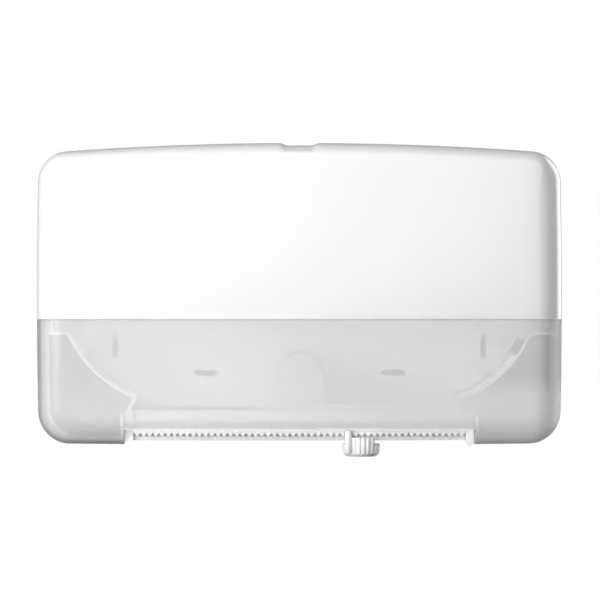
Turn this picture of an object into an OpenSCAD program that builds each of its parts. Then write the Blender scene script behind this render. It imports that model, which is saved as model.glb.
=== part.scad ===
// Jumbo toilet roll dispenser for two small jumbo rolls, wall mounted, millimetres.
// x runs to the right seen from the front, the front faces -y and z is up. The wall is the plane
// y = 0, and z = 0 is half way up the cover. The cover hinges down and forward at its lower rear edge.

/* [Cover] */
// Width of the cover across its widest outline
cover_w = 504; // [496:2:540]
// Height of the cover at its middle
cover_h = 290; // [286:1:310]
// Depth from the wall to the middle of the cover front
cover_d = 150; // [146:1:170]
// Wall thickness of both cover mouldings
cover_wall = 3; // [2:0.2:3.6]
// How far the front falls back from the middle to the sides
front_bow = 14; // [8:1:18]
// How far the front falls back from the middle to the top and bottom
front_crown = 2; // [0:0.5:4]
// Rear edge of the cover, in front of the wall
rim_y = 4; // [3.4:0.2:5]
// Radius of the arched top edge
top_arch_r = 3350; // [2600:50:6000]
// Radius of the nearly straight bottom edge
bottom_arch_r = 40000; // [20000:1000:60000]
// Radius of the slightly bulging sides
side_arch_r = 6000; // [4000:100:12000]
// Radius of the two upper corners
corner_top_r = 32; // [26:1:44]
// Radius of the two lower corners
corner_bottom_r = 33; // [26:1:40]
// Inward lean of the cover sides from the rim to the front edge
draft = 2; // [0.5:0.5:4]
// Width of the front edge rounding at the sides
edge_side_w = 25; // [18:1:30]
// Width of the front edge rounding at the top
edge_top_w = 11; // [8:1:16]
// Width of the front edge rounding at the bottom
edge_bottom_w = 18; // [12:1:22]
// Depth of the front edge rounding at the sides
edge_side_d = 26; // [18:1:34]
// Depth of the front edge rounding at the top and bottom
edge_end_d = 19; // [12:1:26]

/* [Window] */
// Height of the joint line between the white shell and the window
split_z = -24.2; // [-40:0.2:-10]
// Height of the half lap that the window carries up behind the shell
lap_h = 12; // [8:1:18]
// Thickness of the shell where it covers the lap
lap_cover = 1.4; // [0.9:0.1:1.6]
// Gap between the lap and the shell
lap_gap = 0.2; // [0.1:0.05:0.3]
// Gap between the end of the tear bar and the end of its notch
notch_gap = 0.5; // [0.4:0.1:1.5]
// Height of the notch's upper edge above the lowest edge of the cover
notch_h = 16.5; // [13:0.1:19]
// Height of the notch's return walls above its upper edge
return_rise = 3.4; // [2:0.2:6]
// Width of one snap clip on the lap
clip_w = 12; // [8:1:18]
// Thickness of one snap clip
clip_t = 2; // [1.6:0.1:2.4]
// Distance between neighbouring snap clips
clip_pitch = 90; // [70:2:96]

/* [Rolls] */
// Half of the gap between two full rolls
roll_mid = 18; // [14:1:22]
// Room between the curved guides and the sides of the tray
side_room = 13; // [10:1:16]
// Height of the lowest point of the curved guides above the outlet lip
guide_rise = 4; // [3:0.5:8]
// Outer radius of the hub that carries a roll core
hub_r = 27; // [22:0.5:28]
// Length of the hub
hub_len = 96; // [90:1:100]
// Wall of the hub tube and its sleeve
hub_wall = 2.5; // [2:0.1:3]
// Thickness of the hub's front web
hub_web = 4; // [3:0.5:5]
// Number of ribs inside the hub
hub_ribs = 6; // [3:1:8]
// Radius of the spindle post
post_r = 9; // [7:0.5:10]
// Radius of the foot flange of the post
post_flange_r = 25; // [23:0.5:26]
// Thickness of the foot flange
post_flange_t = 4; // [3:0.5:5]
// Length of the cone between the flange and the post
post_cone = 5; // [3:0.5:6]
// Radius of the retaining cap
cap_r = 16; // [13:0.5:20]
// Thickness of the retaining cap
cap_t = 3.2; // [2.4:0.2:5]
// Running clearance on the radius of every turning fit
run_gap = 0.06; // [0.02:0.01:0.1]
// End play of the hub and of the shutter
end_play = 0.4; // [0.3:0.1:0.8]

/* [Tray] */
// Thickness of the back plate
plate_t = 5; // [4:0.5:6]
// Gap between the inside of the cover and the tray
tray_gap = 6; // [5:0.5:8]
// Radius of the tray's upper corners
tray_corner_r = 22; // [16:1:30]
// Height of the upstand round the back plate, from the wall
upstand_h = 16; // [10:1:18]
// Thickness of the upstand
upstand_t = 2.4; // [2:0.2:3]
// Height at which the tray sides step in to the curved guides
step_z = -39; // [-46:1:-30]
// Clearance between the largest roll and the curved guides
roll_gap = 9.5; // [8:0.5:10]
// Thickness of the curved guides
guide_t = 2.5; // [2:0.1:3]
// Set back of the curved guides from the cover front
guide_back = 40; // [38:1:50]
// Reach of the straight side fences from the wall
fence_reach = 56; // [30:1:80]
// Height of the top of the side fences
fence_top = 62; // [30:1:90]
// Depth of the pockets in the back of the plate
pocket_depth = 2.2; // [1:0.2:2.6]
// Width of the ribs between those pockets
pocket_rib = 3; // [2.4:0.2:5]

/* [Wall slots] */
// Radius of the ends of the fixing slots
slot_r = 3; // [2.5:0.25:3.5]
// Whole length of a fixing slot
slot_len = 24; // [18:1:28]
// Distance of the upright slots from the middle
side_slot_x = 183; // [178:1:188]
// Height of the upright slots above and below the middle
side_slot_z = 51.5; // [48:0.5:56]
// Distance of the level slots from the middle
low_slot_x = 93.5; // [88:0.5:100]
// Height of the level slots
low_slot_z = -78; // [-82:1:-74]

/* [Divider] */
// Half width of the dome between the rolls
dome_half = 26; // [20:0.5:28]
// Height of the dome above the shutter lip
dome_h = 48; // [36:0.5:50]
// Wall of the dome
dome_wall = 2.5; // [2:0.1:3]

/* [Paper outlet] */
// Half length of the paper outlet
outlet_half = 157.5; // [154:0.5:160]
// Thickness of the outlet's end cheeks
cheek_t = 8; // [6:0.5:8]
// Top of the front lip and the end cheeks, above the lowest edge of the cover
lip_rise = 34.5; // [31:0.5:37]
// Underside of the front shelf, above the lowest edge of the cover
shelf_rise = 15.5; // [14:0.5:16]
// Underside of the skirt behind the teeth, above the lowest edge of the cover
skirt_rise = 6.5; // [5:0.1:9]
// Thickness of the flange on the back plate
flange_t = 3; // [2.4:0.2:4]
// Wall thickness of the outlet mouldings
frame_t = 2.5; // [2:0.1:3]
// Set back of the tear bar from the cover front
bar_back = 15.5; // [14.5:0.5:16]
// Set back of the outlet lip from the cover front
lip_back = 22; // [21.5:0.5:24]
// Front edge of the rear shelf, from the wall
rear_shelf = 44; // [40:1:50]
// Set back of the rear edge of the front shelf from the cover front
shelf_back = 38; // [36:1:42]

/* [Tear bar] */
// Thickness of the tear bar
bar_t = 2; // [1.6:0.1:2.4]
// Top of the tear bar, above the lowest edge of the cover
bar_rise = 21; // [19:0.5:23]
// Roots of the teeth, above the lowest edge of the cover
tooth_rise = 13.2; // [12:0.1:14]
// Height of one tooth
tooth_h = 3; // [2:0.1:4]
// Width of the flat between two teeth
tooth_land = 0.8; // [0.4:0.1:1.2]
// Distance from tooth to tooth
tooth_pitch = 5.9; // [4:0.1:8]
// Lower end of the end tabs, above the lowest edge of the cover
tab_rise = 0.8; // [-1:0.1:3]

/* [Shutter] */
// Length of the shutter
shutter_len = 193; // [180:1:210]
// Thickness of the shutter plate and its lip
shutter_t = 2.5; // [2:0.1:3]
// Underside of the shutter plate, above the lowest edge of the cover
shutter_rise = 26.5; // [25:0.1:27]
// Top of the shutter lip, above the lowest edge of the cover
shutter_lip_rise = 40; // [36:0.5:43]
// Reach of the shutter lip in front of the shelf's rear edge
shutter_proud = 6.6; // [4:0.2:6.8]
// Width of the neck that carries the knob
neck_w = 16; // [12:1:20]
// Thickness of the neck
neck_t = 4; // [3:0.5:5]
// Running gap between the neck's foot and the skirt
neck_gap = 1.2; // [0.8:0.1:1.6]

/* [Knob] */
// Radius of the knob at its top
knob_r = 18.4; // [16:0.1:20]
// Radius of the knob at its lower edge, before the rounding
knob_low_r = 17.4; // [15:0.1:19]
// Distance of the knob from the middle of the shutter
knob_shift = -2.1; // [-6:0.1:6]
// Drop of the knob's underside below the lowest edge of the cover
knob_drop = 8.6; // [7:0.1:14]
// Top of the knob's front, above the lowest edge of the cover
knob_rise = 9.3; // [7:0.1:11]
// Height of the screw seat in the knob, up to the foot that it hangs from
knob_web = 7; // [5:0.5:8]
// Gap between the knob and the inside of the cover
knob_cover_gap = 4.2; // [3.8:0.2:5]
// Rounding of the knob's lower edge
knob_round = 3; // [1:0.5:4]
// Number of flutes round the knob
flute_n = 24; // [16:2:32]
// Radius of one flute
flute_r = 1.7; // [1.2:0.1:2]
// Depth of one flute
flute_depth = 0.8; // [0.4:0.1:1]
// Width of the index rib
index_w = 6.6; // [4:0.2:8]
// Distance of the index rib from the knob's middle
index_x = 12.3; // [10:0.1:14]
// Top of the index rib, above the lowest edge of the cover
index_rise = 16.2; // [15:0.1:16.4]

/* [Cover hinge] */
// Distance of the hinge axis from the wall
hinge_y = 14; // [13.6:0.2:16]
// Height of the hinge axis above the lowest edge of the cover
hinge_rise = 8.5; // [8:0.1:10]
// Radius of the hinge pins
hinge_pin_r = 2.5; // [2:0.1:2.8]
// Radius of the pin heads
hinge_head_r = 4; // [3.4:0.2:4.6]
// Radius of the round end of the brackets
bracket_r = 6.5; // [5:0.5:7]
// Thickness of the arms on the cover
arm_t = 3; // [2.4:0.2:4]
// Reach of the arms from the hinge axis
arm_len = 60; // [40:1:80]
// Radius of the rivets that hold the arms
rivet_r = 1.6; // [1.2:0.1:2]

/* [Lock] */
// Distance of the lock's axis from the wall
lock_y = 19; // [18.5:0.5:21]
// Half width of the lock body
lock_half = 11; // [9:0.5:13]
// Half width of the notch in the top of the cover
lock_notch_half = 19; // [16:0.5:22]
// Gap between the lock body and the front of that notch
lock_notch_gap = 1; // [0.6:0.1:2]
// Height of the lock body
lock_h = 25; // [20:1:30]
// Sink of the lock body below the top of the cover
lock_sink = 1; // [0.5:0.5:2]
// Radius of the key barrel
barrel_r = 6; // [5:0.25:6.5]
// Radius of the barrel's shaft
shaft_r = 3; // [2.5:0.25:3.5]
// Thickness of the lock floor
lock_floor = 3; // [2:0.5:4]
// Thickness of the hook
hook_t = 4; // [3:0.5:5]
// Inner radius of the hook's arc
hook_r = 19.5; // [19:0.25:20]
// Width of the hook's arc and arm
hook_w = 3.5; // [3:0.25:4]
// Half width of the catch post
catch_half = 4; // [3:0.5:4.5]
// Thickness of the catch post
catch_t = 3; // [2.4:0.2:3]
// Distance of the catch post from the lock's axis
catch_off = 15; // [14.6:0.2:15.6]

/* [Fasteners] */
// Radius of the small screws
screw_r = 1.6; // [1.2:0.1:1.8]
// Radius of the small screw heads
screw_head_r = 3.3; // [2.8:0.1:3.6]
// Height of the small screw heads
screw_head_h = 2; // [1.6:0.1:2.4]
// Radius of the spindle screws
spindle_screw_r = 2.2; // [1.8:0.1:2.6]
// Radius of the spindle screw heads
spindle_head_r = 4.5; // [4:0.1:5]
// Length of the spindle screws in the posts
spindle_screw_len = 18; // [12:1:24]

/* [Hidden] */
$fn = 64;
white = "white";
pale = "gainsboro";
metal = "silver";
clear_gap = 0.3;   // between bodies that pass each other
seat_gap = 0.05;   // round a screw, pin or rivet in its own hole
cut = 1;           // overrun of a cutting solid
big = 700;         // larger than the whole dispenser

half_w = cover_w / 2;
half_h = cover_h / 2;
bow_r = (half_w * half_w + front_bow * front_bow) / (2 * front_bow);
hinge_z = hinge_rise - half_h;
notch_z = notch_h - half_h;
tray_half = half_w - cover_wall - tray_gap;
cheek_out = outlet_half + cheek_t;
notch_half = cheek_out + notch_gap;

// heights that follow the lowest edge of the cover
lip_top = lip_rise - half_h;
shelf_z = shelf_rise - half_h;
skirt_z = skirt_rise - half_h;
bar_top = bar_rise - half_h;
tooth_root = tooth_rise - half_h;
tab_z = tab_rise - half_h;
shutter_z = shutter_rise - half_h;
shutter_lip = shutter_lip_rise - half_h;
knob_bottom = -half_h - knob_drop;
knob_top = knob_rise - half_h;
index_top = index_rise - half_h;
plate_bottom = shutter_z - frame_t;

// the rolls fill the tray between its middle and its sides
roll_r = (tray_half - side_room - guide_t - roll_gap - roll_mid) / 2;
roll_x = roll_r + roll_mid;
guide_r = roll_r + roll_gap + guide_t;
roll_z = lip_top + guide_rise + guide_r;

// depths that follow the front of the cover
guide_reach = cover_d - guide_back;
front_shelf = cover_d - shelf_back;
shutter_front = front_shelf + shutter_proud;
bar_rear = bar_back + bar_t;
lip_rear = lip_back + frame_t;
lock_top = half_h - lock_sink;
lock_bottom = lock_top - lock_h;
hook_top = lock_bottom - end_play;
hook_bottom = hook_top - hook_t;
hub_start = plate_t + post_flange_t + post_cone + 2;
hub_end = hub_start + hub_len;
post_end = hub_end + end_play;
shutter_x = outlet_half - end_play - shutter_len / 2;
knob_x = shutter_x + knob_shift;
knob_front = cover_d - cover_wall - knob_cover_gap - bow_at(knob_x + knob_r);
knob_y = knob_front - knob_r;
foot_top = skirt_z - neck_gap;
foot_bottom = foot_top - shutter_t;
neck_y = front_shelf - end_play - neck_t;

// ---- helpers ----

function mix(a, b, t) = a + (b - a) * t;
// how far the front falls back at a distance x from the middle
function bow_at(x) = bow_r - sqrt(bow_r * bow_r - x * x);
function face_y(x, z, depth) = -(depth - bow_at(x) - front_crown * pow(z / half_h, 2));

// extrudes a front view outline from y = -from to y = -to
module upright(from, to) {
    translate([0, -from, 0]) rotate([90, 0, 0]) linear_extrude(height = to - from) children();
}

// a cylinder along -y from y = -from to y = -to
module rod_y(r, from, to) {
    translate([0, -from, 0]) rotate([90, 0, 0]) cylinder(h = to - from, r = r);
}

// a cylinder along x between two places
module rod_x(r, from, to) {
    translate([from, 0, 0]) rotate([0, 90, 0]) cylinder(h = to - from, r = r);
}

// a box given by its low and high corners
module block(low, high) {
    translate(low) cube(high - low);
}

// the same shape on the right and, turned over, on the left
module on_side(side) {
    if (side > 0) children();
    else mirror([1, 0, 0]) children();
}

// a level slot with round ends
module slot(len, r) {
    translate([-len / 2 + r, -r]) square([len - 2 * r, 2 * r]);
    for (side = [-1, 1]) translate([side * (len / 2 - r), 0]) circle(r = r);
}

// a band of the plan that follows the bowed front, between two set backs from it
module bow_band(front_back, rear_back, half, low, high) {
    intersection() {
        translate([0, bow_r - cover_d, low]) difference() {
            cylinder(h = high - low, r = bow_r - front_back, $fn = 360);
            translate([0, 0, -cut]) cylinder(h = high - low + 2 * cut, r = bow_r - rear_back, $fn = 360);
        }
        block([-half, -big, low - cut], [half, -cover_d / 2, high + cut]);
    }
}

// everything behind a set back from the bowed front
module behind_front(back) {
    translate([0, bow_r - cover_d, -big]) cylinder(h = 2 * big, r = bow_r - back, $fn = 360);
}

module small_screw_y(head_seat, depth) {
    rod_y(screw_head_r, head_seat, head_seat + screw_head_h);
    rod_y(screw_r, head_seat - depth, head_seat);
}

// ---- cover form: tangent arcs drawn in, ring by ring, from the rim to the front ----

// centre of a corner circle that touches two larger circles from inside
function touch(c1, r1, c2, r2, side) =
    let(d = norm(c2 - c1), u = (c2 - c1) / d)
    let(a = (r1 * r1 - r2 * r2 + d * d) / (2 * d), h = sqrt(r1 * r1 - a * a))
    c1 + a * u + side * h * [-u[1], u[0]];
function heading(v) = atan2(v[1], v[0]);
top_c = [0, half_h - top_arch_r];
bottom_c = [0, bottom_arch_r - half_h];
side_c = [half_w - side_arch_r, 0];
corner_t = touch(top_c, top_arch_r - corner_top_r, side_c, side_arch_r - corner_top_r, -1);
corner_b = touch(bottom_c, bottom_arch_r - corner_bottom_r, side_c, side_arch_r - corner_bottom_r, 1);

// points of an arc, each kept as [centre, radius, angle], without its last point
function arc(c, r, from, to, n) = [for (i = [0:n - 1]) [c, r, mix(from, to, i / n)]];
right_half = concat(
    arc(top_c, top_arch_r, 90, heading(corner_t - top_c), 5),
    arc(corner_t, corner_top_r, heading(corner_t - top_c), heading(corner_t - side_c), 8),
    arc(side_c, side_arch_r, heading(corner_t - side_c), heading(corner_b - side_c), 4),
    arc(corner_b, corner_bottom_r, heading(corner_b - side_c), heading(corner_b - bottom_c), 8),
    arc(bottom_c, bottom_arch_r, heading(corner_b - bottom_c), -90, 5),
    [[bottom_c, bottom_arch_r, -90]]);
function turned_over(p) = [[-p[0][0], p[0][1]], p[1], 180 - p[2]];
outline = concat(right_half, [for (i = [len(right_half) - 2:-1:1]) turned_over(right_half[i])]);
outline_n = len(outline);
round_steps = 6;

// width and depth of the edge rounding, which differ between sides, top and bottom
function edge_w(a) = edge_side_w * pow(cos(a), 2)
    + (sin(a) > 0 ? edge_top_w : edge_bottom_w) * pow(sin(a), 2);
function edge_d(a) = edge_side_d * pow(cos(a), 2) + edge_end_d * pow(sin(a), 2);
function outline_at(p, inset) = p[0] + (p[1] - inset) * [cos(p[2]), sin(p[2])];
function rim_ring(inset, y) = [for (p = outline) let(q = outline_at(p, inset)) [q[0], -y, q[1]]];
function round_ring(inset, depth, a) = [for (p = outline)
    let(q = outline_at(p, inset + draft + edge_w(p[2]) * (1 - cos(a))))
    [q[0], face_y(q[0], q[1], depth) + edge_d(p[2]) * (1 - sin(a)), q[1]]];
function face_ring(ring, share, depth) = [for (p = ring)
    [p[0] * share, face_y(p[0] * share, p[2] * share, depth), p[2] * share]];

// the closed solid inside the cover outline, set in by inset, from y = -rear to its front
module cover_solid(inset, rear) {
    depth = cover_d - inset;
    rounds = [for (i = [0:round_steps]) round_ring(inset, depth, 90 * i / round_steps)];
    rings = concat([rim_ring(inset, rear)], rounds,
        [for (share = [0.78, 0.52, 0.26]) face_ring(rounds[round_steps], share, depth)]);
    last = len(rings) - 1;
    points = concat([for (ring = rings) for (p = ring) p], [[0, face_y(0, 0, depth), 0]]);
    side_faces = [for (k = [0:last - 1], j = [0:outline_n - 1])
        let(a = k * outline_n + j, b = k * outline_n + (j + 1) % outline_n)
        each [[a, b, b + outline_n], [a, b + outline_n, a + outline_n]]];
    front_faces = [for (j = [0:outline_n - 1])
        [last * outline_n + j, last * outline_n + (j + 1) % outline_n, (last + 1) * outline_n]];
    rear_face = [[for (j = [outline_n - 1:-1:0]) j]];
    polyhedron(points, concat(side_faces, front_faces, rear_face));
}

module above(z) {
    block([-big, -big, z], [big, big, big]);
}

module below(z) {
    block([-big, -big, -big], [big, big, z]);
}

lap_high = split_z + lap_h;

module cover_shell() {
    color(white) difference() {
        cover_solid(0, rim_y);
        cover_solid(cover_wall, rim_y - cut);
        below(split_z);
        // rebate for the window's lap
        intersection() {
            cover_solid(lap_cover, rim_y - cut);
            below(lap_high + lap_gap);
        }
        // notch for the lock in the top wall
        block([-lock_notch_half, -lock_y - lock_half - lock_notch_gap, half_h - 3 * cover_wall],
            [lock_notch_half, cut, half_h + cut]);
    }
}

return_rear = hinge_y + bracket_r + arm_t / 2 + clear_gap;
arm_in = notch_half + cover_wall;
arm_out = arm_in + arm_t;
rivet_y = [-hinge_y - arm_len / 2, -hinge_y - arm_len + 4 * rivet_r];
rivet_z = hinge_z + clear_gap;

module cover_window() {
    color(pale) {
        difference() {
            union() {
                intersection() {
                    cover_solid(0, rim_y);
                    below(split_z - lap_gap);
                }
                intersection() {
                    cover_solid(lap_cover + lap_gap, rim_y);
                    block([-big, -big, split_z - lap_h / 2], [big, big, lap_high]);
                }
            }
            cover_solid(cover_wall, rim_y - cut);
            block([-notch_half, -big, -big], [notch_half, big, notch_z]);
        }
        for (side = [-1, 1]) on_side(side) return_wall();
    }
}

// height of the bottom wall beside the notch, at some inset from the outline
function bottom_at(inset) = bottom_c[1] - sqrt(pow(bottom_arch_r - inset, 2) - pow(notch_half, 2));

// side view of the wall that closes the end of the notch, from its rear edge round to its top
function return_profile(inset) = concat(
    [[-return_rear, bottom_at(inset + draft * return_rear / cover_d)]],
    [for (i = [0:round_steps])
        let(a = 90 * i / round_steps, z = bottom_at(inset + draft + edge_bottom_w * (1 - cos(a))))
        [face_y(arm_in, z, cover_d - inset) + edge_end_d * (1 - sin(a)), z]],
    [[face_y(arm_in, notch_z, cover_d - inset), notch_z + return_rise],
        [-return_rear, notch_z + return_rise]]);

module return_wall() {
    difference() {
        translate([notch_half, 0, 0]) rotate([90, 0, 90]) linear_extrude(height = cover_wall)
            polygon(return_profile(cover_wall / 2));
        for (y = rivet_y) translate([0, y, rivet_z])
            rod_x(rivet_r + seat_gap, notch_half - cut, arm_in + cut);
    }
}

// ---- clips that hook over the lap and hold the window to the shell ----

module window_clips() {
    color(pale) for (i = [-2:2]) {
        x = i * clip_pitch;
        // the flat facets of the wall lie a little behind its true curve
        wall_y = face_y(abs(x) + clip_w / 2, lap_high, cover_d - cover_wall) + clear_gap;
        block([x - clip_w / 2, wall_y, lap_high - lap_h / 2],
            [x + clip_w / 2, wall_y + clip_t, lap_high + lap_h / 2]);
    }
}

// ---- hinge ----

module hinge_bracket(side) {
    color(pale) on_side(side) difference() {
        union() {
            translate([0, -hinge_y, hinge_z]) rod_x(bracket_r, outlet_half, cheek_out);
            block([outlet_half, -hinge_y - bracket_r, hinge_z], [cheek_out, -hinge_y + bracket_r, shelf_z]);
        }
        translate([0, -hinge_y, hinge_z]) rod_x(hinge_pin_r + seat_gap, outlet_half - cut, cheek_out + cut);
        above(shelf_z);
    }
}

module hinge_pin(side) {
    color(metal) on_side(side) translate([0, -hinge_y, hinge_z]) {
        rod_x(hinge_pin_r, outlet_half - cut, arm_out + 1.5);
        rod_x(hinge_head_r, outlet_half - 3, outlet_half);
    }
}

knuckle_r = hinge_rise - cover_wall - 3 * clear_gap;
arm_low = bottom_at(cover_wall + draft) + clear_gap;

module hinge_arm(side) {
    arm_high = notch_z + return_rise;
    color(pale) on_side(side) difference() {
        union() {
            translate([0, -hinge_y, hinge_z]) rod_x(knuckle_r, notch_half, arm_out);
            block([arm_in, -hinge_y - arm_len, arm_low], [arm_out, -hinge_y, arm_high]);
        }
        translate([0, -hinge_y, hinge_z]) rod_x(hinge_pin_r + run_gap, notch_half - cut, arm_out + cut);
        for (y = rivet_y) translate([0, y, rivet_z])
            rod_x(rivet_r + seat_gap, arm_in - cut, arm_out + cut);
    }
}

module arm_rivets() {
    color(metal) for (side = [-1, 1], y = rivet_y) on_side(side) translate([0, y, rivet_z]) {
        rod_x(rivet_r, notch_half, arm_out);
        rod_x(2 * rivet_r, arm_out, arm_out + 0.75 * rivet_r);
    }
}

// ---- back plate ----

// height at which the curved guide ends above the outlet cheek, on either radius
function guide_end(r) = roll_z - sqrt(r * r - pow(outlet_half - roll_x, 2));
step_x = roll_x + sqrt(guide_r * guide_r - pow(roll_z - step_z, 2));
tray_arch_r = top_arch_r - cover_wall - tray_gap;
// the corner circles stand a little proud of the arch, so that it cuts them cleanly
corner_proud = 0.4;
tray_corner_z = top_c[1] + corner_proud
    + sqrt(pow(tray_arch_r - tray_corner_r, 2) - pow(tray_half - tray_corner_r, 2));

// front view outline of the tray, drawn in by inset
module tray_outline(inset) {
    half = tray_half - inset;
    intersection() {
        translate(top_c) circle(r = tray_arch_r - inset, $fn = 720);
        union() {
            translate([-half, step_z + inset]) square([2 * half, tray_corner_z - step_z - inset]);
            translate([tray_corner_r - tray_half, 0]) square([2 * (tray_half - tray_corner_r), half_h]);
            for (side = [-1, 1]) translate([side * (tray_half - tray_corner_r), tray_corner_z])
                circle(r = tray_corner_r - inset);
        }
    }
    for (side = [-1, 1]) translate([side * roll_x, roll_z]) circle(r = guide_r - inset, $fn = 128);
    foot_z = guide_end(guide_r) + 2;
    polygon([[-outlet_half + inset, step_z + inset], [-outlet_half + inset, foot_z],
        [-cheek_out + inset, lip_top], [-cheek_out + inset, plate_bottom + inset],
        [cheek_out - inset, plate_bottom + inset], [cheek_out - inset, lip_top],
        [outlet_half - inset, foot_z], [outlet_half - inset, step_z + inset]]);
}

module wall_slots(extra_len, extra_r) {
    for (side = [-1, 1]) {
        for (z = [-side_slot_z, side_slot_z])
            translate([side * side_slot_x, z]) rotate(90) slot(slot_len + extra_len, slot_r + extra_r);
        translate([side * low_slot_x, low_slot_z]) slot(slot_len + extra_len, slot_r + extra_r);
    }
}

post_screw_r = post_flange_r - 5;
post_screw_angles = [90, 210, 330];
frame_screw_x = [-130, -50, 50, 130];
frame_screw_z = plate_bottom + 6;
lock_screw_x = lock_half + 4;
lock_screw_z = lock_bottom + 5;

module post_screw_places() {
    for (side = [-1, 1], a = post_screw_angles)
        translate([side * roll_x + post_screw_r * cos(a), 0, roll_z + post_screw_r * sin(a)]) children();
}

module frame_screw_places() {
    for (x = frame_screw_x) translate([x, 0, frame_screw_z]) children();
}

module lock_screw_places() {
    for (side = [-1, 1]) translate([side * lock_screw_x, 0, lock_screw_z]) children();
}

pocket_pitch = 42;
pocket_low = -24;
pocket_margin = 6;
flange_margin = 4;

// shallow pockets in the back, between ribs, round the slots and the post feet
module back_pockets() {
    difference() {
        for (i = [-5:4], j = [0:2])
            translate([i * pocket_pitch + pocket_rib / 2, j * pocket_pitch + pocket_low + pocket_rib / 2])
                square(pocket_pitch - pocket_rib);
        wall_slots(2 * pocket_margin, pocket_margin);
        for (side = [-1, 1]) translate([side * roll_x, roll_z])
            circle(r = post_flange_r + flange_margin);
        translate([-lock_screw_x - pocket_margin, lock_bottom - 2 * pocket_margin])
            square([2 * (lock_screw_x + pocket_margin), half_h]);
    }
}

module back_plate() {
    color(pale) difference() {
        union() {
            upright(0, plate_t) tray_outline(0);
            upright(plate_t - cut, upstand_h) intersection() {
                difference() {
                    tray_outline(0);
                    tray_outline(upstand_t);
                }
                // on both sides of the lock body, above the side fences
                for (side = [-1, 1]) on_side(side)
                    translate([lock_half + clear_gap, fence_top + clear_gap]) square([half_w, half_h]);
            }
        }
        upright(-cut, plate_t + cut) wall_slots(0, 0);
        upright(-cut, pocket_depth) back_pockets();
        post_screw_places() rod_y(screw_r + seat_gap, -cut, plate_t + cut);
        frame_screw_places() rod_y(screw_r + seat_gap, -cut, plate_t + cut);
        lock_screw_places() rod_y(screw_r + seat_gap, -cut, plate_t + cut);
    }
}

// ---- curved guides beside the rolls ----

module guide(side) {
    inner_r = guide_r - guide_t;
    mid_r = guide_r - guide_t / 2;
    color(pale) on_side(side) {
        upright(plate_t, guide_reach) {
            intersection() {
                translate([roll_x, roll_z]) difference() {
                    circle(r = guide_r, $fn = 128);
                    circle(r = inner_r, $fn = 128);
                }
                translate([outlet_half, -half_h]) square([half_w, half_h + step_z + guide_t]);
            }
            translate([step_x - guide_t, step_z]) square([tray_half - step_x + guide_t, guide_t]);
            // slanting foot on the end cheek of the outlet
            polygon([[outlet_half - guide_t, guide_end(inner_r)],
                [outlet_half + guide_t, guide_end(inner_r)],
                [outlet_half + 1, guide_end(mid_r)], [cheek_out, lip_top],
                [cheek_out - guide_t - 1, lip_top], [outlet_half - guide_t, guide_end(guide_r) - 1]]);
        }
        upright(plate_t, fence_reach)
            translate([tray_half - guide_t, step_z]) square([guide_t, fence_top - step_z]);
    }
}

// ---- dome between the rolls ----

flange_top = frame_screw_z + screw_head_r + clear_gap;
dome_bottom = flange_top + clear_gap;

module dome_outline(inset) {
    polygon(concat([[-dome_half + inset, dome_bottom]],
        [for (i = [0:24]) let(a = 180 - 180 * i / 24)
            [(dome_half - inset) * cos(a), shutter_lip + (dome_h - inset) * sin(a)]],
        [[dome_half - inset, dome_bottom]]));
}

module centre_divider() {
    color(pale) difference() {
        upright(plate_t, guide_reach) dome_outline(0);
        upright(plate_t - cut, guide_reach - dome_wall) dome_outline(dome_wall);
        block([-dome_half, -guide_reach + dome_wall, -half_h], [dome_half, 0, dome_bottom + cut]);
    }
}

// ---- paper outlet ----

keeper_y = rear_shelf - 8;
keeper_t = 2;
keeper_lip = 3;
keeper_top = shutter_z + shutter_t + 2 * clear_gap + keeper_t;
skirt_back = bar_rear + bar_t;

module outlet_frame() {
    color(white) difference() {
        union() {
            // flange on the back plate and rear shelf under the shutter
            block([-outlet_half, -plate_t - flange_t, plate_bottom], [outlet_half, -plate_t, flange_top]);
            block([-outlet_half, -rear_shelf, plate_bottom],
                [outlet_half, -plate_t, shutter_z - clear_gap]);
            // rail that guides and holds down the shutter's rear edge
            block([-outlet_half, -keeper_y, plate_bottom], [outlet_half, keeper_t - keeper_y, keeper_top]);
            block([-outlet_half, -keeper_y - keeper_lip, keeper_top - keeper_t],
                [outlet_half, -keeper_y, keeper_top]);
            // end cheeks
            for (side = [-1, 1]) on_side(side) intersection() {
                behind_front(bar_rear + seat_gap);
                block([outlet_half - seat_gap, -cover_d, shelf_z], [cheek_out, -plate_t, lip_top]);
            }
            // front lip, shelf, ledge under the shutter and skirt behind the teeth
            bow_band(lip_back, lip_rear, outlet_half, shelf_z, lip_top);
            bow_band(bar_rear + seat_gap, lip_rear, outlet_half, shelf_z, shelf_z + frame_t);
            intersection() {
                behind_front(lip_back + seat_gap);
                block([-outlet_half, -cover_d, plate_bottom],
                    [outlet_half, -front_shelf, shutter_z - clear_gap]);
            }
            bow_band(skirt_back, skirt_back + frame_t, outlet_half, skirt_z, shelf_z + cut);
        }
        frame_screw_places() rod_y(screw_r + seat_gap, 0, plate_t + flange_t + cut);
    }
}

// ---- tear bar ----

tooth_n = floor(2 * outlet_half / tooth_pitch);

module toothed_edge() {
    start = -tooth_n * tooth_pitch / 2;
    polygon(concat([[-outlet_half, bar_top], [-outlet_half, tooth_root]],
        [for (i = [0:tooth_n - 1]) each [[start + i * tooth_pitch + tooth_land / 2, tooth_root],
            [start + (i + 0.5) * tooth_pitch, tooth_root - tooth_h],
            [start + (i + 1) * tooth_pitch - tooth_land / 2, tooth_root]]],
        [[outlet_half, tooth_root], [outlet_half, bar_top]]));
}

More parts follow.
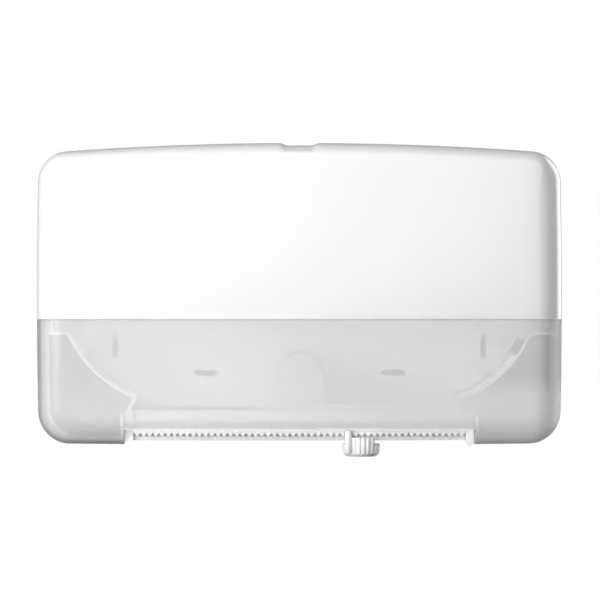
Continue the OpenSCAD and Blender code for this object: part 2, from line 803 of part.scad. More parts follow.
module tear_bar() {
    color(white) {
        intersection() {
            bow_band(bar_back, bar_rear, outlet_half + cut, tooth_root - tooth_h - cut, bar_top + cut);
            upright(0, cover_d) toothed_edge();
        }
        for (side = [-1, 1]) on_side(side) intersection() {
            bow_band(bar_back, bar_rear, cheek_out + cut, tab_z - cut, bar_top + cut);
            upright(0, cover_d) {
                translate([outlet_half - seat_gap, tab_z + cheek_t / 2])
                    square([cheek_t + seat_gap, bar_top - tab_z - cheek_t / 2]);
                translate([outlet_half + cheek_t / 2, tab_z + cheek_t / 2]) circle(r = cheek_t / 2);
            }
        }
    }
}

// ---- spindles ----

module on_spindle(side) {
    translate([side * roll_x, 0, roll_z]) children();
}

module spindle_post(side) {
    cone_start = plate_t + post_flange_t;
    color(pale) on_spindle(side) difference() {
        union() {
            rod_y(post_flange_r, plate_t, cone_start);
            translate([0, -cone_start, 0]) rotate([90, 0, 0])
                cylinder(h = post_cone, r1 = post_r + post_cone, r2 = post_r);
            rod_y(post_r, cone_start, post_end);
        }
        rod_y(spindle_screw_r + seat_gap, post_end - spindle_screw_len - 2, post_end + cut);
        for (a = post_screw_angles) translate([post_screw_r * cos(a), 0, post_screw_r * sin(a)])
            rod_y(screw_r + seat_gap, 0, cone_start + cut);
    }
}

module roll_hub(side) {
    sleeve_r = post_r + run_gap + hub_wall;
    lead_in = 3;
    color(white) on_spindle(side) difference() {
        union() {
            difference() {
                union() {
                    rod_y(hub_r, hub_start, hub_end - lead_in);
                    translate([0, lead_in - hub_end, 0]) rotate([90, 0, 0])
                        cylinder(h = lead_in, r1 = hub_r, r2 = hub_r - 1.5);
                }
                rod_y(hub_r - hub_wall, hub_start - cut, hub_end - hub_web);
            }
            rod_y(sleeve_r, hub_start, hub_end);
            for (i = [0:hub_ribs - 1]) rotate([0, 360 * i / hub_ribs, 0])
                block([sleeve_r - 1, -hub_end + 1, -0.8], [hub_r - 1, -hub_start - 4, 0.8]);
        }
        rod_y(post_r + run_gap, hub_start - cut, hub_end + cut);
    }
}

module spindle_cap(side) {
    color(pale) on_spindle(side) difference() {
        union() {
            rod_y(cap_r, post_end, post_end + cap_t - 1);
            translate([0, 1 - post_end - cap_t, 0]) rotate([90, 0, 0])
                cylinder(h = 1, r1 = cap_r, r2 = cap_r - 1);
        }
        rod_y(spindle_screw_r + seat_gap, post_end - cut, post_end + cap_t + cut);
    }
}

module spindle_screws() {
    head = post_end + cap_t;
    color(metal) for (side = [-1, 1]) on_spindle(side) {
        rod_y(spindle_screw_r, post_end - spindle_screw_len, head);
        rod_y(spindle_head_r, head, head + 2.4);
    }
}

module post_screws() {
    color(metal) post_screw_places() small_screw_y(plate_t + post_flange_t, plate_t + post_flange_t - 1);
}

module frame_screws() {
    color(metal) frame_screw_places() small_screw_y(plate_t + flange_t, plate_t + flange_t - 1);
}

// ---- lock ----

ear_t = 3;

module lock_body() {
    top_step = 1.5;
    color(pale) difference() {
        union() {
            block([-lock_half, -lock_y - lock_half, lock_bottom], [lock_half, -plate_t, lock_top - 2]);
            block([top_step - lock_half, top_step - lock_y - lock_half, lock_bottom],
                [lock_half - top_step, -plate_t, lock_top]);
            block([-lock_screw_x - 5, -plate_t - ear_t, lock_bottom],
                [lock_screw_x + 5, -plate_t, lock_screw_z + 5]);
        }
        translate([0, -lock_y, lock_bottom + lock_floor]) cylinder(h = lock_h, r = barrel_r + run_gap);
        translate([0, -lock_y, lock_bottom - cut]) cylinder(h = lock_h, r = shaft_r + run_gap);
        lock_screw_places() rod_y(screw_r + seat_gap, 0, plate_t + ear_t + cut);
    }
}

module lock_screws() {
    color(metal) lock_screw_places() small_screw_y(plate_t + ear_t, plate_t + ear_t - 1);
}

barrel_top = lock_top - 0.6;

module lock_barrel() {
    color(metal) translate([0, -lock_y, 0]) difference() {
        union() {
            translate([0, 0, lock_bottom + lock_floor + clear_gap])
                cylinder(h = barrel_top - lock_bottom - lock_floor - clear_gap, r = barrel_r);
            translate([0, 0, hook_bottom]) cylinder(h = lock_h / 2, r = shaft_r);
        }
        block([-3.5, -0.7, barrel_top - 3], [3.5, 0.7, barrel_top + cut]);
        translate([0, 0, hook_bottom - cut]) cylinder(h = 7, r = 1.2 + seat_gap);
    }
}

// the hook is stored turned away from the catch; its arc ends behind the catch after a quarter turn
hook_arm_angle = 30;
hook_span = 50;

module lock_hook() {
    outer_r = hook_r + hook_w;
    end_angle = hook_arm_angle - hook_span;
    color(metal) translate([0, -lock_y, hook_bottom]) linear_extrude(height = hook_t) difference() {
        union() {
            circle(r = shaft_r + 4);
            rotate(hook_arm_angle) translate([0, -hook_w]) square([hook_r + hook_w / 2, hook_w + 0.6]);
            intersection() {
                difference() {
                    circle(r = outer_r, $fn = 128);
                    circle(r = hook_r, $fn = 128);
                }
                polygon([[0, 0], 2 * outer_r * [cos(end_angle), sin(end_angle)],
                    2 * outer_r * [cos(hook_arm_angle), sin(hook_arm_angle)]]);
            }
        }
        circle(r = shaft_r + seat_gap);
    }
}

module hook_screw() {
    color(metal) translate([0, -lock_y, hook_bottom]) {
        translate([0, 0, -2]) cylinder(h = 2, r = shaft_r + 1.4);
        cylinder(h = 5, r = 1.2);
    }
}

catch_top = half_h - cover_wall - draft / 2 - clear_gap;
catch_y = lock_y + catch_off;

module cover_catch() {
    base_t = 2.4;
    color(white) {
        block([-3 * catch_half, -catch_y - catch_t - 12, catch_top - base_t],
            [3 * catch_half, -catch_y, catch_top]);
        block([-catch_half, -catch_y - catch_t, hook_bottom - catch_t / 2],
            [catch_half, -catch_y, catch_top - base_t]);
        // gusset in front of the post, above the hook's path
        translate([-1, 0, 0]) rotate([90, 0, 90]) linear_extrude(height = 2)
            polygon([[-catch_y - catch_t, catch_top - base_t], [-catch_y - catch_t, hook_top + 4],
                [-catch_y - catch_t - 9, catch_top - base_t]]);
    }
}

// ---- shutter and its knob ----

module at_shutter() {
    translate([shutter_x, 0, 0]) children();
}

module at_knob() {
    translate([knob_x, 0, 0]) children();
}

module shutter() {
    half = shutter_len / 2;
    color(pale) at_shutter() difference() {
        union() {
            block([-half, -shutter_front, shutter_z],
                [half, -keeper_y - clear_gap, shutter_z + shutter_t]);
            block([-half, -shutter_front, shutter_z], [half, shutter_t - shutter_front, shutter_lip]);
            block([knob_shift - neck_w / 2, -neck_y - neck_t, foot_bottom],
                [knob_shift + neck_w / 2, -neck_y, shutter_z + cut]);
            block([knob_shift - neck_w / 2, -knob_y - neck_w / 2, foot_bottom],
                [knob_shift + neck_w / 2, -neck_y, foot_top]);
        }
        translate([knob_shift, -knob_y, foot_bottom - cut])
            cylinder(h = 2 * shutter_t + cut, r = screw_r + seat_gap);
    }
}

knob_seat = foot_bottom - knob_web;
knob_clear_y = cover_d - bar_back + 2 * clear_gap;

module flute_cuts() {
    lean = atan((knob_r - knob_low_r) / (knob_top - knob_bottom));
    for (i = [0:flute_n - 1]) rotate(360 * i / flute_n)
        translate([knob_r + flute_r - flute_depth, 0, knob_top + cut])
            rotate([0, lean, 0]) translate([0, 0, -2 * (knob_top - knob_bottom)])
                cylinder(h = 2 * (knob_top - knob_bottom), r = flute_r, $fn = 32);
}

module shutter_knob() {
    height = knob_top - knob_bottom;
    index_low = knob_bottom + knob_round + cut;
    color(white) at_knob() {
        difference() {
            translate([0, -knob_y, 0]) difference() {
                union() {
                    translate([0, 0, knob_bottom + knob_round])
                        cylinder(h = height - knob_round, r1 = knob_low_r, r2 = knob_r);
                    translate([0, 0, knob_bottom])
                        cylinder(h = knob_round, r1 = knob_low_r - knob_round, r2 = knob_low_r);
                }
                flute_cuts();
                translate([0, 0, knob_bottom - cut])
                    cylinder(h = knob_seat - knob_bottom + cut, r = screw_head_r + clear_gap);
                translate([0, 0, knob_seat - cut]) cylinder(h = height, r = screw_r + seat_gap);
            }
            // room for the foot, and for the tear bar that the knob's front stands before
            block([-big, -knob_clear_y, foot_bottom], [big, 0, knob_top + cut]);
        }
        translate([-index_x, 0, index_low]) {
            block([-index_w / 2, -knob_clear_y - index_w / 4, 0],
                [index_w / 2, -knob_clear_y, index_top - index_low]);
            translate([0, -knob_clear_y - index_w / 4, 0]) intersection() {
                cylinder(h = index_top - index_low, r = index_w / 2);
                block([-index_w, -index_w, 0], [index_w, 0, big]);
            }
        }
    }
}

module knob_screw() {
    color(metal) at_knob() translate([0, -knob_y, 0]) {
        translate([0, 0, knob_seat - screw_head_h]) cylinder(h = screw_head_h, r = screw_head_r);
        translate([0, 0, knob_seat]) cylinder(h = foot_top - knob_seat, r = screw_r);
    }
}

back_plate();
guide(-1);  // guide_left
guide(1);  // guide_right
centre_divider();
outlet_frame();
tear_bar();
spindle_post(-1);  // spindle_post_left
spindle_post(1);  // spindle_post_right
spindle_cap(-1);  // spindle_cap_left
spindle_cap(1);  // spindle_cap_right
spindle_screws();
post_screws();
frame_screws();
hinge_bracket(-1);  // hinge_bracket_left
hinge_bracket(1);  // hinge_bracket_right
hinge_pin(-1);  // hinge_pin_left
hinge_pin(1);  // hinge_pin_right
lock_body();
lock_screws();
roll_hub(-1);  // roll_hub_left
roll_hub(1);  // roll_hub_right
cover_shell();
cover_window();
window_clips();
hinge_arm(-1);  // hinge_arm_left
hinge_arm(1);  // hinge_arm_right
arm_rivets();
cover_catch();
lock_barrel();
lock_hook();
hook_screw();
shutter();
shutter_knob();
knob_screw();
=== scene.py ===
# %% [markdown]
# # A twin roll dispenser with a hinged cover
# The object hangs on a wall and holds two rolls of toilet paper side by side. A white shell and a
# translucent window are clipped together into one crowned cover. Behind it are a tray with two
# spindles, a dome between the rolls, a serrated tear bar and a slide with a fluted knob.
# The solid model already has every piece in place, so the script starts from it. What is remade here
# are the surfaces where a camera sees every facet: the two cover mouldings.

import math

import bmesh
import bpy
import numpy as np
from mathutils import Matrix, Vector


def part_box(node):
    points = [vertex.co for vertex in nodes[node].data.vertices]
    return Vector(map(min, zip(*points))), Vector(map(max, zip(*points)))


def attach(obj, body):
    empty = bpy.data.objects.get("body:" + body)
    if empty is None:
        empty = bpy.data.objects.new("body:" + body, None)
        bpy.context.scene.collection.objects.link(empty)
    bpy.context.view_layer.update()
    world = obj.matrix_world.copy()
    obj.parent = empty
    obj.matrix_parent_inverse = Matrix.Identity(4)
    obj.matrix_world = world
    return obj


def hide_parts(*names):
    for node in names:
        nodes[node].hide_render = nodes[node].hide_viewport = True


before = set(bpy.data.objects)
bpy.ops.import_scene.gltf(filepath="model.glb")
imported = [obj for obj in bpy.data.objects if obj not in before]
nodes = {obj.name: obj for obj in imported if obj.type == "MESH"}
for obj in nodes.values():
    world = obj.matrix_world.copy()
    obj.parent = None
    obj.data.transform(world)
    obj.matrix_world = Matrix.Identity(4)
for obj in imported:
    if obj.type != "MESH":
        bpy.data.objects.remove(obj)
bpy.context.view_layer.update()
MM = 0.001
print("solid model:", len(nodes), "pieces")

# %% [markdown]
# ## The cover's outline
# Seen from the front the cover is a rounded rectangle with no straight line in it. Its top is a
# shallow arch, its sides bulge slightly and the corners are circles that touch both. A chain of
# tangent arcs gives that exactly, and keeps each point as a centre, a radius and an angle, so that
# the same outline can be drawn smaller for the inside of the wall.

# %% Sizes of the cover in metres
low_corner, high_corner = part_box("cover_shell")
window_low, window_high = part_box("cover_window")
HALF_W = (high_corner.x - low_corner.x) / 2
HALF_H = (high_corner.z - window_low.z) / 2
RIM_Y = -high_corner.y
DEPTH = -low_corner.y
SPLIT_Z = low_corner.z
LAP_TOP = window_high.z
WALL = 3 * MM
# How far the front bows across and up, and how far the walls lean in between the rim and the front
BOW = 14 * MM
CROWN = 2 * MM
DRAFT = 2 * MM
BOW_R = (HALF_W ** 2 + BOW ** 2) / (2 * BOW)
# Radii of the outline: along the top, the bottom and the sides, and at the corners
TOP_R, BOTTOM_R, SIDE_R = 3.35, 40.0, 6.0
CORNER_TOP_R, CORNER_BOTTOM_R = 32 * MM, 33 * MM
# Width and depth of the rounded front edge
EDGE_SIDE_W, EDGE_TOP_W, EDGE_BOTTOM_W = 25 * MM, 11 * MM, 26 * MM
EDGE_SIDE_D, EDGE_END_D = 26 * MM, 19 * MM
# Places of extra points beside the middle of the top, where the wall will dip
DIP_POINTS = [x * MM for x in range(1, 22, 2)]
print("cover half width, half height, depth:", round(HALF_W, 4), round(HALF_H, 4), round(DEPTH, 4))


# %% Chain the arcs of the outline
def touching_centre(c1, r1, c2, r2, side):
    """Centre at distance r1 from c1 and r2 from c2."""
    c1, c2 = np.array(c1), np.array(c2)
    d = np.linalg.norm(c2 - c1)
    u = (c2 - c1) / d
    a = (r1 * r1 - r2 * r2 + d * d) / (2 * d)
    h = math.sqrt(r1 * r1 - a * a)
    return c1 + a * u + side * h * np.array([-u[1], u[0]])


def heading(start, end):
    return math.atan2(end[1] - start[1], end[0] - start[0])


def outline_arcs(steps=20, corner_steps=18):
    """Points [centre x, centre z, radius, angle] once round the cover, starting at the top middle."""
    top, bottom, side = (0, HALF_H - TOP_R), (0, BOTTOM_R - HALF_H), (HALF_W - SIDE_R, 0)
    upper = touching_centre(top, TOP_R - CORNER_TOP_R, side, SIDE_R - CORNER_TOP_R, -1)
    lower = touching_centre(bottom, BOTTOM_R - CORNER_BOTTOM_R, side, SIDE_R - CORNER_BOTTOM_R, 1)
    arcs = [
        (top, TOP_R, math.pi / 2, heading(top, upper), steps),
        (upper, CORNER_TOP_R, heading(top, upper), heading(side, upper), corner_steps),
        (side, SIDE_R, heading(side, upper), heading(side, lower), steps),
        (lower, CORNER_BOTTOM_R, heading(side, lower), heading(bottom, lower), corner_steps),
        (bottom, BOTTOM_R, heading(bottom, lower), -math.pi / 2, steps)]
    right = [(c[0], c[1], r, a + (b - a) * i / n) for c, r, a, b, n in arcs for i in range(n)]
    dip = [(top[0], top[1], TOP_R, math.pi / 2 - x / TOP_R) for x in DIP_POINTS]
    right = sorted(right[:2] + dip, key=lambda p: -p[3]) + right[2:]
    right.append((bottom[0], bottom[1], BOTTOM_R, -math.pi / 2))
    left = [(-cx, cz, r, math.pi - a) for cx, cz, r, a in reversed(right[1:-1])]
    return np.array(right + left)


OUTLINE = outline_arcs()
print("outline points:", len(OUTLINE))


# %% [markdown]
# ## From outline to crowned front
# The wall leans in a little from the rim, as any moulding must to leave its tool. It then turns over
# an elliptical edge that is wide at the sides and narrow along the top, and ends in a front that
# bows like a slice of a large cylinder. Ring after ring of the outline, each drawn further in and
# further forward, follows all three. A subdivided box could not keep those widths apart.

# %% Rings of one surface of the cover
def bow_at(x):
    return BOW_R - np.sqrt(BOW_R ** 2 - x ** 2)


def face_y(x, z, depth):
    return -(depth - bow_at(x) - CROWN * (z / HALF_H) ** 2)


def outline_at(inset):
    cx, cz, r, a = OUTLINE.T
    return cx + (r - inset) * np.cos(a), cz + (r - inset) * np.sin(a)


def cover_rings(inset, round_steps=16, face_steps=14):
    """Rings of points from the rim to the front, then the middle point of the front."""
    depth = DEPTH - inset
    angle = OUTLINE[:, 3]
    along, across = np.cos(angle) ** 2, np.sin(angle) ** 2
    width = EDGE_SIDE_W * along + np.where(np.sin(angle) > 0, EDGE_TOP_W, EDGE_BOTTOM_W) * across
    drop = EDGE_SIDE_D * along + EDGE_END_D * across
    x, z = outline_at(inset)
    rings = [np.stack([x, np.full_like(x, -RIM_Y), z], 1)]
    for i in range(round_steps + 1):
        t = math.pi / 2 * i / round_steps
        x, z = outline_at(inset + DRAFT + width * (1 - math.cos(t)))
        rings.append(np.stack([x, face_y(x, z, depth) + drop * (1 - math.sin(t)), z], 1))
    edge_x, edge_z = rings[-1][:, 0], rings[-1][:, 2]
    for i in range(1, face_steps):
        share = 1 - i / face_steps
        x, z = edge_x * share, edge_z * share
        rings.append(np.stack([x, face_y(x, z, depth), z], 1))
    return rings, (0.0, float(face_y(0.0, 0.0, depth)), 0.0)


print("rings:", len(cover_rings(0)[0]))


# %% [markdown]
# ## One wall from several skins
# A moulding has an outside, an inside and edges that join them. Each skin is laid as a sheet, cut
# with planes where the moulding stops, and its free edges are then laced to the next skin. Cutting
# thin sheets gives cleaner edges than taking one solid from another, and it leaves the wall's real
# thickness for light to pass through.
# The top wall also dips a little at its middle, in front of the lock. The outside and the inside dip
# together, so the wall keeps its thickness there.

# %% Lay a skin
DIP_FLAT, DIP_END = 11 * MM, 19 * MM
DIP_REACH, DIP_DEPTH = 13 * MM, 2.4 * MM


def thumb_dip(point):
    """Lowers a point of the top wall near the middle."""
    x, y, z = point
    along = 1 - np.clip((abs(x) - DIP_FLAT) / (DIP_END - DIP_FLAT), 0, 1)
    up = np.clip((z - HALF_H + DIP_REACH) / (DIP_REACH / 2), 0, 1)
    return x, y, z - DIP_DEPTH * along * along * (3 - 2 * along) * up


def lay_skin(bm, inset):
    """Adds one open surface of the cover and returns its faces."""
    rings, tip = cover_rings(inset)
    count = len(OUTLINE)
    grid = [[bm.verts.new(thumb_dip(p)) for p in ring] for ring in rings]
    middle = bm.verts.new(tip)
    faces = []
    for a, b in zip(grid, grid[1:]):
        for j in range(count):
            k = (j + 1) % count
            faces.append(bm.faces.new((a[j], a[k], b[k], b[j])))
    last = grid[-1]
    for j in range(count):
        faces.append(bm.faces.new((last[j], last[(j + 1) % count], middle)))
    return faces


trial = bmesh.new()
trial_faces = lay_skin(trial, 0)
print("faces in one full skin:", len(trial_faces))

# %% [markdown]
# ## Trimming a skin
# A real moulding stops at a joint line and leaves gaps for its neighbours. Here planes cut the sheet
# at exact places, and the faces on the far side are deleted. A test on the middle of each face keeps
# a cut local, so that a notch puts no needless edges across the rest of the front.

# %% Cut a skin and drop what is beyond the cut
def cut_skin(bm, faces, point, normal, near=None):
    """Cuts the faces along a plane and returns all of the skin's faces. near limits the cut."""
    chosen = [f for f in faces if near is None or near(f.calc_center_median())]
    rest = [f for f in faces if f not in set(chosen)]
    edges = {e for f in chosen for e in f.edges}
    verts = {v for f in chosen for v in f.verts}
    cut = bmesh.ops.bisect_plane(
        bm, geom=chosen + list(edges) + list(verts), plane_co=point, plane_no=normal, dist=1e-7)
    inside = [g for g in cut["geom"] if isinstance(g, bmesh.types.BMFace)]
    return rest + inside


def drop_faces(bm, faces, gone):
    """Deletes the faces whose middle passes the test and returns the others."""
    doomed = [f for f in faces if gone(f.calc_center_median())]
    kept = [f for f in faces if not gone(f.calc_center_median())]
    bmesh.ops.delete(bm, geom=doomed, context="FACES")
    return kept


trial_faces = cut_skin(trial, trial_faces, (0, 0, SPLIT_Z), (0, 0, 1))
trial_faces = drop_faces(trial, trial_faces, lambda c: c.z < SPLIT_Z)
print("faces above the joint line:", len(trial_faces))

# %% [markdown]
# ## Joining two skins
# Between two trimmed sheets there is an open gap all along their edges. Their points don't pair up,
# because the inner sheet is smaller and was cut elsewhere, so a bridge that expects equal counts
# fails. Lacing walks both edges at once and always takes the shorter diagonal.

# %% Walk free edges and lace them
SAME_LEVEL = 1e-6


def level_chain(faces, z):
    """The free edge of a skin at height z, ordered from the left rim round the front to the right."""
    verts = {v for f in faces for e in f.edges if len(e.link_faces) == 1
             for v in e.verts if abs(v.co.z - z) < SAME_LEVEL}
    behind = 2 * MM
    return sorted(verts, key=lambda v: -math.atan2(behind - v.co.y - RIM_Y, v.co.x))


def free_chain(start, end, level):
    """Walks the free edge from start to end, first leaving the edge that lies at this height."""
    chain, previous = [start], None
    while chain[-1] != end:
        here = chain[-1]
        steps = [e.other_vert(here) for e in here.link_edges if len(e.link_faces) == 1]
        steps = [v for v in steps if v != previous]
        if previous is None:
            steps = [v for v in steps if abs(v.co.z - level) > SAME_LEVEL]
        previous = here
        chain.append(steps[0])
    return chain


def lace(bm, a, b):
    """Fills the strip between two open chains with triangles, always across the shorter diagonal."""
    i = j = 0
    while i < len(a) - 1 or j < len(b) - 1:
        step_a = (a[i + 1].co - b[j].co).length if i < len(a) - 1 else math.inf
        step_b = (a[i].co - b[j + 1].co).length if j < len(b) - 1 else math.inf
        if step_a <= step_b:
            bm.faces.new((a[i], a[i + 1], b[j]))
            i += 1
        else:
            bm.faces.new((a[i], b[j + 1], b[j]))
            j += 1


print("points along the joint line:", len(level_chain(trial_faces, SPLIT_Z)))
trial.free()

# %% [markdown]
# ## A lip that is not a knife edge
# The two mouldings meet in a fine line, and that line shows because each lip is slightly round. A
# bevel on a laced corner pinches, so the last rows of the sheet are drawn in towards the wall before
# the lacing. Three rows are enough for a radius under a millimetre.

# %% Round a free edge
LIP_R = 0.7 * MM
SHOULDER_R = LIP_R / 4
ROW_SHARES = (0.15, 0.45, 1.0)
CUT_NEAR = 20 * MM
CORE_Y = RIM_Y + 20 * MM


def roll_edge(bm, faces, level, radius, upward):
    """Rounds the free edge of a skin at height level, by drawing its last rows in towards the wall."""
    for share in ROW_SHARES:
        z = level + upward * radius * share
        faces = cut_skin(bm, faces, (0, 0, z), (0, 0, 1),
                         near=lambda c, z=z: abs(c.z - z) < CUT_NEAR)
    moves = {}
    bm.normal_update()
    for v in {v for f in faces for v in f.verts}:
        gap = max((v.co.z - level) * upward, 0)
        if gap < radius - 1e-7:
            inward = Vector((v.normal.x, v.normal.y, 0)).normalized()
            if inward.dot(Vector((v.co.x, v.co.y + CORE_Y, 0))) > 0:
                inward = -inward
            moves[v] = inward * (radius - math.sqrt(radius ** 2 - (radius - gap) ** 2))
    for v, step in moves.items():
        v.co += step
    return faces


print("lip radii in mm:", round(LIP_R / MM, 3), round(SHOULDER_R / MM, 3))

# %% [markdown]
# ## From sheets to a shaded object
# The laced sheets are one closed mesh, but some of them were laid inside out. Turning all faces
# outwards, and then smoothing across gentle angles only, gives the soft front and the crisp lips.

# %% Make the object
CRISP_ANGLE = 35


def finish_mesh(bm, name):
    """Turns the faces the right way out and makes a smooth shaded object with crisp edges."""
    bmesh.ops.recalc_face_normals(bm, faces=bm.faces)
    mesh = bpy.data.meshes.new(name)
    bm.to_mesh(mesh)
    bm.free()
    mesh.shade_smooth()
    mesh.set_sharp_from_angle(angle=math.radians(CRISP_ANGLE))
    obj = bpy.data.objects.new(name, mesh)
    bpy.context.scene.collection.objects.link(obj)
    print(name, "faces:", len(mesh.polygons))
    return obj


print("edges stay crisp above", CRISP_ANGLE, "degrees")

# %% [markdown]
# ## The white shell
# The upper moulding ends at the joint line in a thin lip: its wall is rebated on the inside, so that
# the window's lap can sit behind it flush. A small notch at the top middle clears the lock.

# %% Keep a band of a skin and notch it for the lock
NOTCH_X = 19 * MM
NOTCH_Y = -31 * MM
NOTCH_NEAR = 60 * MM


def cut_lock_notch(bm, faces):
    def near(c):
        return c.z > HALF_H / 2 and c.y > NOTCH_Y - 2 * NOTCH_NEAR and abs(c.x) < NOTCH_NEAR

    for point, normal in (((NOTCH_X, 0, 0), (1, 0, 0)), ((-NOTCH_X, 0, 0), (1, 0, 0)),
                          ((0, NOTCH_Y, 0), (0, 1, 0))):
        faces = cut_skin(bm, faces, point, normal, near=near)
    return drop_faces(bm, faces, lambda c: abs(c.x) < NOTCH_X and c.y > NOTCH_Y and c.z > HALF_H / 2)


def band(bm, inset, low, high):
    """A skin kept only between two heights; None means no limit."""
    faces = lay_skin(bm, inset)
    for z, above in ((low, False), (high, True)):
        if z is not None:
            faces = cut_skin(bm, faces, (0, 0, z), (0, 0, 1))
            faces = drop_faces(bm, faces, lambda c, z=z, above=above: (c.z > z) == above)
    return faces


print("lock notch, half width and reach in mm:", round(NOTCH_X / MM, 1), round(-NOTCH_Y / MM, 1))

# %% Build the shell
LAP_COVER = 1.4 * MM
LAP_GAP = 0.2 * MM


def build_shell():
    bm = bmesh.new()
    lap_end = LAP_TOP + LAP_GAP
    outside = cut_lock_notch(bm, band(bm, 0, SPLIT_Z, None))
    inside = cut_lock_notch(bm, band(bm, WALL, lap_end, None))
    rebate = band(bm, LAP_COVER, SPLIT_Z, lap_end)
    outside = roll_edge(bm, outside, SPLIT_Z, LIP_R, 1)
    lip = level_chain(outside, SPLIT_Z)
    rebate_low = level_chain(rebate, SPLIT_Z)
    rebate_high = level_chain(rebate, lap_end)
    inside_low = level_chain(inside, lap_end)
    rim_out = free_chain(lip[0], lip[-1], SPLIT_Z)
    rim_in = free_chain(inside_low[0], inside_low[-1], lap_end)
    left = free_chain(rebate_low[0], rebate_high[0], SPLIT_Z)
    right = free_chain(rebate_high[-1], rebate_low[-1], lap_end)
    lace(bm, lip, rebate_low)
    lace(bm, rebate_high, inside_low)
    lace(bm, rim_out, left + rim_in + right)
    return finish_mesh(bm, "cover_shell_moulding")


shell = build_shell()

# %% [markdown]
# ## The window
# The lower moulding is frosted, so its wall has to be a true closed solid: light goes through both
# of its faces. Its top carries the lap behind the shell, and along the bottom a long notch leaves
# room for the tear bar. Two upright walls close the notch's ends. They are short prisms, because
# their side view is the cover's own section, cut level at the top.

# %% Notch the window and close the ends of the notch
NOTCH_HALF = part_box("tear_bar")[1].x + 0.5 * MM
NOTCH_TOP = 16.5 * MM - HALF_H
NOTCH_CUT_RISE = 40 * MM
RETURN_RISE = 3.4 * MM
RETURN_REAR = 22.3 * MM


def cut_bar_notch(bm, faces):
    def near(c):
        return c.z < NOTCH_TOP + NOTCH_CUT_RISE

    for point, normal in (((0, 0, NOTCH_TOP), (0, 0, 1)), ((NOTCH_HALF, 0, 0), (1, 0, 0)),
                          ((-NOTCH_HALF, 0, 0), (1, 0, 0))):
        faces = cut_skin(bm, faces, point, normal, near=near)
    return drop_faces(bm, faces, lambda c: abs(c.x) < NOTCH_HALF and c.z < NOTCH_TOP)


def bottom_at(inset):
    return BOTTOM_R - HALF_H - math.sqrt((BOTTOM_R - inset) ** 2 - NOTCH_HALF ** 2)


def return_profile(inset, steps=14):
    """Side view (y, z) of the wall at the end of the notch."""
    x = NOTCH_HALF + WALL
    points = [(-RETURN_REAR, bottom_at(inset + DRAFT * RETURN_REAR / DEPTH))]
    for i in range(steps + 1):
        t = math.pi / 2 * i / steps
        z = bottom_at(inset + DRAFT + EDGE_BOTTOM_W * (1 - math.cos(t)))
        points.append((float(face_y(x, z, DEPTH - inset)) + EDGE_END_D * (1 - math.sin(t)), z))
    top = NOTCH_TOP + RETURN_RISE
    points.append((float(face_y(x, NOTCH_TOP, DEPTH - inset)), top))
    return points + [(-RETURN_REAR, top)]


def add_prism(bm, profile, x0, x1):
    """Extrudes a (y, z) profile from x0 to x1."""
    ends = [[bm.verts.new((x, y, z)) for y, z in profile] for x in (x0, x1)]
    bm.faces.new(ends[0])
    bm.faces.new(reversed(ends[1]))
    for i in range(len(profile)):
        k = (i + 1) % len(profile)
        bm.faces.new((ends[0][i], ends[0][k], ends[1][k], ends[1][i]))


print("bar notch, half width in mm:", round(NOTCH_HALF / MM, 1))
print("bar notch, height in mm:", round((NOTCH_TOP + HALF_H) / MM, 1))

# %% Build the window
def build_window():
    bm = bmesh.new()
    top = SPLIT_Z - LAP_GAP
    outside = cut_bar_notch(bm, band(bm, 0, None, top))
    inside = cut_bar_notch(bm, band(bm, WALL, None, LAP_TOP))
    lap = band(bm, LAP_COVER + LAP_GAP, top, LAP_TOP)
    outside = roll_edge(bm, outside, top, SHOULDER_R, -1)
    shoulder = level_chain(outside, top)
    lap_low, lap_high = level_chain(lap, top), level_chain(lap, LAP_TOP)
    inside_high = level_chain(inside, LAP_TOP)
    rim_out = free_chain(shoulder[0], shoulder[-1], top)
    rim_in = free_chain(inside_high[0], inside_high[-1], LAP_TOP)
    left = free_chain(lap_high[0], lap_low[0], LAP_TOP)
    right = free_chain(lap_low[-1], lap_high[-1], top)
    lace(bm, shoulder, lap_low)
    lace(bm, lap_high, inside_high)
    lace(bm, left + rim_out + right, rim_in)
    for side in (-1, 1):
        add_prism(bm, return_profile(WALL / 2), side * NOTCH_HALF, side * (NOTCH_HALF + WALL))
    return finish_mesh(bm, "cover_window_moulding")


window = build_window()

# %% [markdown]
# ## Who moves with what
# Each new moulding takes the place of a solid piece. The solid is hidden, and the moulding is parented to
# the cover's body, so that it moves with that body.

# %% Attach the mouldings
for obj, node, slot in ((shell, "cover_shell", "cover_white"), (window, "cover_window", "window_plastic")):
    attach(obj, "cover")
    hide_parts(node)
print("cover pieces attached:", shell.name, window.name)

# %% [markdown]
# ## Edges of the other pieces
# Real mouldings have no knife edges. The solid pieces keep their meshes, and a modifier adds a small
# rounding to their sharp edges. Weld comes first because an imported mesh is split along each crease,
# and Bevel only sees edges that join two faces.

# %% Round the solid pieces
EDGE_ROUND_MM = {
    "back_plate": 0.5, "guide_left": 0.4, "guide_right": 0.4, "centre_divider": 0.6, "outlet_frame": 0.5,
    "shutter": 0.5, "shutter_knob": 0.25, "tear_bar": 0.12, "lock_body": 0.4, "lock_barrel": 0.3,
    "lock_hook": 0.25, "cover_catch": 0.3, "window_clips": 0.25, "hinge_arm_left": 0.35,
    "hinge_arm_right": 0.35, "hinge_bracket_left": 0.4, "hinge_bracket_right": 0.4,
    "roll_hub_left": 0.3, "roll_hub_right": 0.3, "spindle_post_left": 0.3, "spindle_post_right": 0.3,
    "spindle_cap_left": 0.4, "spindle_cap_right": 0.4, "hinge_pin_left": 0.2, "hinge_pin_right": 0.2}
FASTENER_ROUND_MM = 0.15
WELD_GAP = 0.002 * MM
SHARP_ANGLE = 32


